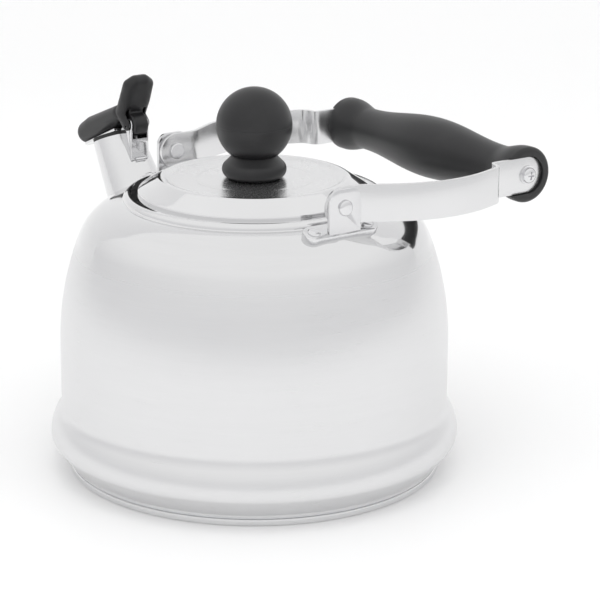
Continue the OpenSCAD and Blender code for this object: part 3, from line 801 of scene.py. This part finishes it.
# %% The fastener tree
def fastener_tree():
    inputs = [("Kind", "Object", None), ("Turn", "Float", 0.0), ("Seed", "Int", 3),
        ("Material", "Material", None)]
    build, given = group("set fasteners", inputs)
    facing = build.add("GeometryNodeInputNamedAttribute", {"data_type": "FLOAT_VECTOR"}, Name="facing")
    aim = build.add("FunctionNodeAlignRotationToVector", {"axis": "Z"}, Vector=facing.outputs[0])
    settings = {"data_type": "FLOAT"}
    random = build.add("FunctionNodeRandomValue", settings, i2=0.0, i3=given["Turn"], Seed=given["Seed"])
    spin = build.add("ShaderNodeCombineXYZ", Z=random.outputs[1]).outputs[0]
    turn = build.add("FunctionNodeEulerToRotation", Euler=spin)
    settings = {"rotation_space": "LOCAL"}
    aimed, spun = aim.outputs[0], turn.outputs[0]
    both = build.add("FunctionNodeRotateRotation", settings, Rotation=aimed, Rotate_By=spun)
    kind = build.add("GeometryNodeObjectInfo", Object=given["Kind"])
    points = build.add("GeometryNodeMeshToPoints", Mesh=given["Geometry"])
    shape = kind.outputs["Geometry"]
    placed = build.add(
        "GeometryNodeInstanceOnPoints", Points=points.outputs[0], Instance=shape, Rotation=both.outputs[0]
    )
    return close_group(build, placed.outputs[0], given["Material"])


FASTEN = fastener_tree()


def set_fasteners(name, kind, places, material, turn=0.0, seed=3):
    """places are (point, direction) pairs, in millimetres."""
    points = mesh_object(name, [Vector(p) * MM for p, _ in places])
    facing = points.data.attributes.new("facing", "FLOAT_VECTOR", "POINT")
    for item, (_, direction) in zip(facing.data, places):
        item.vector = Vector(direction).normalized()
    obj = run(FASTEN, points, name, Kind=kind, Turn=turn, Seed=seed, Material=material)
    bpy.data.objects.remove(kind)
    return outward(obj)


def head(r, h):
    """A domed head, as a profile from its edge to the middle."""
    return [(r, 0), (r, h * 0.3)] + [(r * math.cos(a) ** 0.8, h * (0.3 + 0.7 * math.sin(a))) for a in
        (math.radians(9 * k) for k in range(1, 10))] + [(0, h)]


def pan_screw(shank, deep_to, head_r, head_h):
    """A screw with a domed head and a cross recess, its head standing on z = 0."""
    shaft = [(0, -deep_to), (shank - 0.3, -deep_to), (shank, -deep_to + 0.5), (shank, 0)]
    profile = shaft + head(head_r, head_h)
    screw = revolve("screw", profile, fastener, sides=40)
    for turn in (0, math.pi / 2):
        wide, deep = head_r * 0.12, head_h * 0.4
        long = head_r * 0.52
        arm = [(-long, -wide), (long, -wide), (long, wide), (-long, wide)]
        tool = outward(slab("cutter", arm, deep, head_h + 1))
        tool.data.transform(Matrix.Rotation(turn, 4, "Z"))
        screw = cut(screw, tool)
    return screw


# %% Screws
grip_face = TAB_Y + STRAP_T / 2 + 0.8
places = [((REACH, side * grip_face, PIVOT_Z), (0, side, 0)) for side in (1, -1)]
screws = set_fasteners("grip_screws", pan_screw(2.0, 12, 4.0, 2.3), places, fastener, turn=1.5, seed=5)
settle(screws, "handle", "hardware_steel", "grip_screw_front", "grip_screw_rear")

under_lid = top_z - LID_T - 0.8
kind = pan_screw(2.0, flat_z - under_lid + 10, 4, 2.3)
screw = set_fasteners("lid_screw", kind, [((0, 0, under_lid), (0, 0, -1))], fastener)
settle(screw, "lid", "hardware_steel", "knob_screw")

down = mouth_frame.to_3x3() @ Vector((0, 0, -1))
SEAL_T, PLATE_T = 2.0, 1.4
plate_z = 0.05 + SEAL_T
places = [(mouth_frame @ (Vector((0, MOUTH_R + u, plate_z)) * MM) / MM, down) for u in (2.6, 7.6)]
kind = pan_screw(1.2, PLATE_T + 5, 2.2, 1.2)
screws = set_fasteners("plate_screws", kind, places, fastener, turn=1.5, seed=9)
settle(screws, "whistle", "hardware_steel", "whistle_plate_screws")

# %% Rivets
foot_y = NECK_R + 4.6
slope = 90 - math.degrees(math.acos((foot_y - crown_x) / crown_arc))
foot_z = crown_z + crown_arc * math.cos(math.radians(slope))
tilt = math.radians(slope)
FOOT_T = 1.6
foot_shank = [(0, -3.3), (2.6, -3.3), (2.6, -2.3), (1.6, -2.3), (1.6, FOOT_T)]
foot_shank += [(r, FOOT_T + z) for r, z in head(3.2, 1.2)]
places = []
for side in (1, -1):
    up = (0, side * math.sin(tilt), math.cos(tilt))
    places += [((x, side * foot_y, foot_z), up) for x in (15.9, -15.9)]
rivets = set_fasteners("foot_rivets", revolve("rivet", foot_shank, fastener, sides=40), places, fastener)
settle(rivets, "kettle", "polished_steel", "bracket_rivets_front", "bracket_rivets_rear")

inner_face = STRAP_Y - STRAP_T / 2 - 0.05
stack = 2 * STRAP_T + 0.65
pivot_shank = [(0, -1.4), (3.9, -1.4), (4.2, -1.1), (4.2, 0), (2.5, 0), (2.5, stack)]
pivot_shank += [(r, stack + z) for r, z in head(3.9, 1.8)]
places = [((0, side * inner_face, PIVOT_Z), (0, side, 0)) for side in (1, -1)]
pins = set_fasteners("pivot_rivets", revolve("rivet", pivot_shank, fastener, sides=48), places, fastener)
settle(pins, "kettle", "hardware_steel", "pivot_rivet_front", "pivot_rivet_rear")

# %% [markdown]
# ## The torsion spring
# A spring follows a rule as well: a helix round the pin, swept with a thin wire. Its turns lie side
# by side.


# %% Spring
def spring_tree():
    inputs = [("Turns", "Float", 5.0), ("Coil radius", "Float", 0.0029), ("Length", "Float", 0.0035),
        ("Wire radius", "Float", 0.00038), ("Material", "Material", None)]
    build, given = group("torsion spring", inputs)
    coil = given["Coil radius"]
    helix = build.add("GeometryNodeCurveSpiral", Resolution=28, Rotations=given["Turns"],
        Start_Radius=coil, End_Radius=coil, Height=given["Length"])
    wire = build.add("GeometryNodeCurvePrimitiveCircle", Resolution=10, Radius=given["Wire radius"])
    line, section = helix.outputs[0], wire.outputs[0]
    swept = build.add("GeometryNodeCurveToMesh", Curve=line, Profile_Curve=section, Fill_Caps=True)
    return close_group(build, swept.outputs[0], given["Material"])


pin = Vector(joints["whistle_flip"]["pos_m"])
seed_point = mesh_object("spring_wire", [(0, 0, 0)])
wire = run(spring_tree(), seed_point, "spring_wire", Material=fastener)
HALF_COIL = 0.00175
on_pin = Matrix.Translation(pin) @ Matrix.Rotation(math.pi / 2, 4, "Y")
wire.data.transform(on_pin @ Matrix.Translation((0, 0, -HALF_COIL)))
settle(outward(wire), "kettle", "hardware_steel", "whistle_spring")

# %% [markdown]
# ## The parts that keep their solids
# Washers, inserts, the hidden core, the skirt, the seal and the pin are simple and exact, so the CAD
# meshes stay. A tree on each merges its loose triangles and smooths all but its real corners.


# %% Smooth and paint the CAD nodes
def smooth_tree():
    inputs = [("Angle", "Float", math.radians(30)), ("Material", "Material", None)]
    build, given = group("smooth a solid", inputs)
    merged = build.add("GeometryNodeMergeByDistance", Geometry=given["Geometry"], Distance=2e-6)
    settings = {"domain": "FACE"}
    smooth = build.add("GeometryNodeSetShadeSmooth", settings, Geometry=merged.outputs[0], Shade_Smooth=True)
    edge = build.add("GeometryNodeInputMeshEdgeAngle").outputs[0]
    sharp = build.add("FunctionNodeCompare", {"operation": "GREATER_THAN"}, i0=edge, i1=given["Angle"])
    settings = {"domain": "EDGE"}
    faces, creases = smooth.outputs[0], sharp.outputs[0]
    marked = build.add(
        "GeometryNodeSetShadeSmooth", settings, Geometry=faces, Selection=creases, Shade_Smooth=False
    )
    return close_group(build, marked.outputs[0], given["Material"])


SMOOTH = smooth_tree()
kept = {
    "base_core": aluminium, "lid_skirt": polished, "knob_insert": brass, "knob_washer": fastener,
    "grip_insert_front": brass, "grip_insert_rear": brass,
    "grip_washer_front": fastener, "grip_washer_rear": fastener,
    "pivot_washer_front": fastener, "pivot_washer_rear": fastener,
    "whistle_seal": rubber, "whistle_disc": polished,
    "whistle_hinge_pin": fastener, "whistle_bracket_weld": bracket_steel,
}
for node, material in kept.items():
    obj = frame["nodes"][node]
    obj.data.materials.clear()
    obj.data.materials.append(material)
    modifier = obj.modifiers.new("smooth", "NODES")
    modifier.node_group = SMOOTH
    for item in SMOOTH.interface.items_tree:
        if item.in_out == "INPUT" and item.name == "Material":
            modifier[item.identifier] = material
print("kept solids:", len(kept))

# %% [markdown]
# ## Studio
# A pale floor runs up into a pale wall with no corner, lit by large soft panels. Polished steel shows
# only what stands round it, so the panels are big and plain and hidden from reflections, and the room
# is a little darker near the floor than overhead: that is what draws the grey edges of the body.

# %% Floor
floor_line = rounded([(-2.5, 0), (2.2, 0), (2.2, 3.0)], [1.2], steps=24)
across = (-3.0, 3.0)
view_turn = Matrix.Rotation(math.radians(-35), 4, "Z")
points = [view_turn @ Vector((x, y, z)) for x in across for y, z in floor_line]
n = len(floor_line)
floor = mesh_object("studio_floor", points, faces=[(k, n + k, n + k + 1, k + 1) for k in range(n - 1)])
floor.data.shade_smooth()
floor_paint, tree, shader = finish("floor_paint", (0.96, 0.96, 0.96), 0.0, 0.5)
feed(tree, shader, "Roughness", noise(tree, (1, 1, 1), size=9.0) * 0.1 + 0.45)
floor.data.materials.append(floor_paint)

# %% Camera
AIM = Vector((0, 0, 0.0855))
AZIMUTH, PITCH, DISTANCE = math.radians(-35), math.radians(16.7), 1.2
camera_data = bpy.data.cameras.new("camera")
camera_data.lens, camera_data.sensor_width, camera_data.shift_x = 140.7, 36.0, 0.0762
camera = link(bpy.data.objects.new("camera", camera_data))
back = Vector((math.sin(AZIMUTH) * math.cos(PITCH), -math.cos(AZIMUTH) * math.cos(PITCH), math.sin(PITCH)))
camera.location = AIM + back * DISTANCE
camera.rotation_euler = (math.pi / 2 - PITCH, 0, AZIMUTH)
bpy.context.scene.camera = camera
print("camera at", [round(v, 3) for v in camera.location])


# %% Lights
def panel(name, azimuth, elevation, distance, size, power, target=(0, 0, 0.08)):
    """A soft square light that looks at the kettle."""
    data = bpy.data.lights.new(name, "AREA")
    data.shape, data.size, data.size_y, data.energy = "RECTANGLE", size[0], size[1], power
    lamp = link(bpy.data.objects.new(name, data))
    a, e = math.radians(azimuth), math.radians(elevation)
    way = Vector((math.sin(a) * math.cos(e), -math.cos(a) * math.cos(e), math.sin(e)))
    lamp.location = Vector(target) + way * distance
    lamp.rotation_euler = (-way).to_track_quat("-Z", "Y").to_euler()
    lamp.visible_glossy = False
    return lamp


panel("top_panel", -35, 80, 1.6, (1.6, 1.6), 4)
panel("left_panel", -95, 25, 1.8, (1.2, 1.4), 2)
panel("right_panel", 30, 25, 1.8, (1.0, 1.4), 2)
panel("front_panel", -40, 45, 2.2, (1.6, 1.0), 2)

world = bpy.data.worlds.new("studio_world")
bpy.context.scene.world = world
world.use_nodes = True
sky = Tree(world.node_tree)
coords = sky.add("ShaderNodeTexCoord").outputs["Generated"]
height = Value(sky, sky.add("ShaderNodeSeparateXYZ", Vector=coords).outputs[2])
background = world.node_tree.nodes["Background"]
feed(sky, background, "Color", tint(sky, height.step(-0.05, 0.7), (0.80, 0.80, 0.81), (1.0, 1.0, 1.0)))
background.inputs["Strength"].default_value = 1.0
bpy.context.scene.view_settings.view_transform = "Standard"
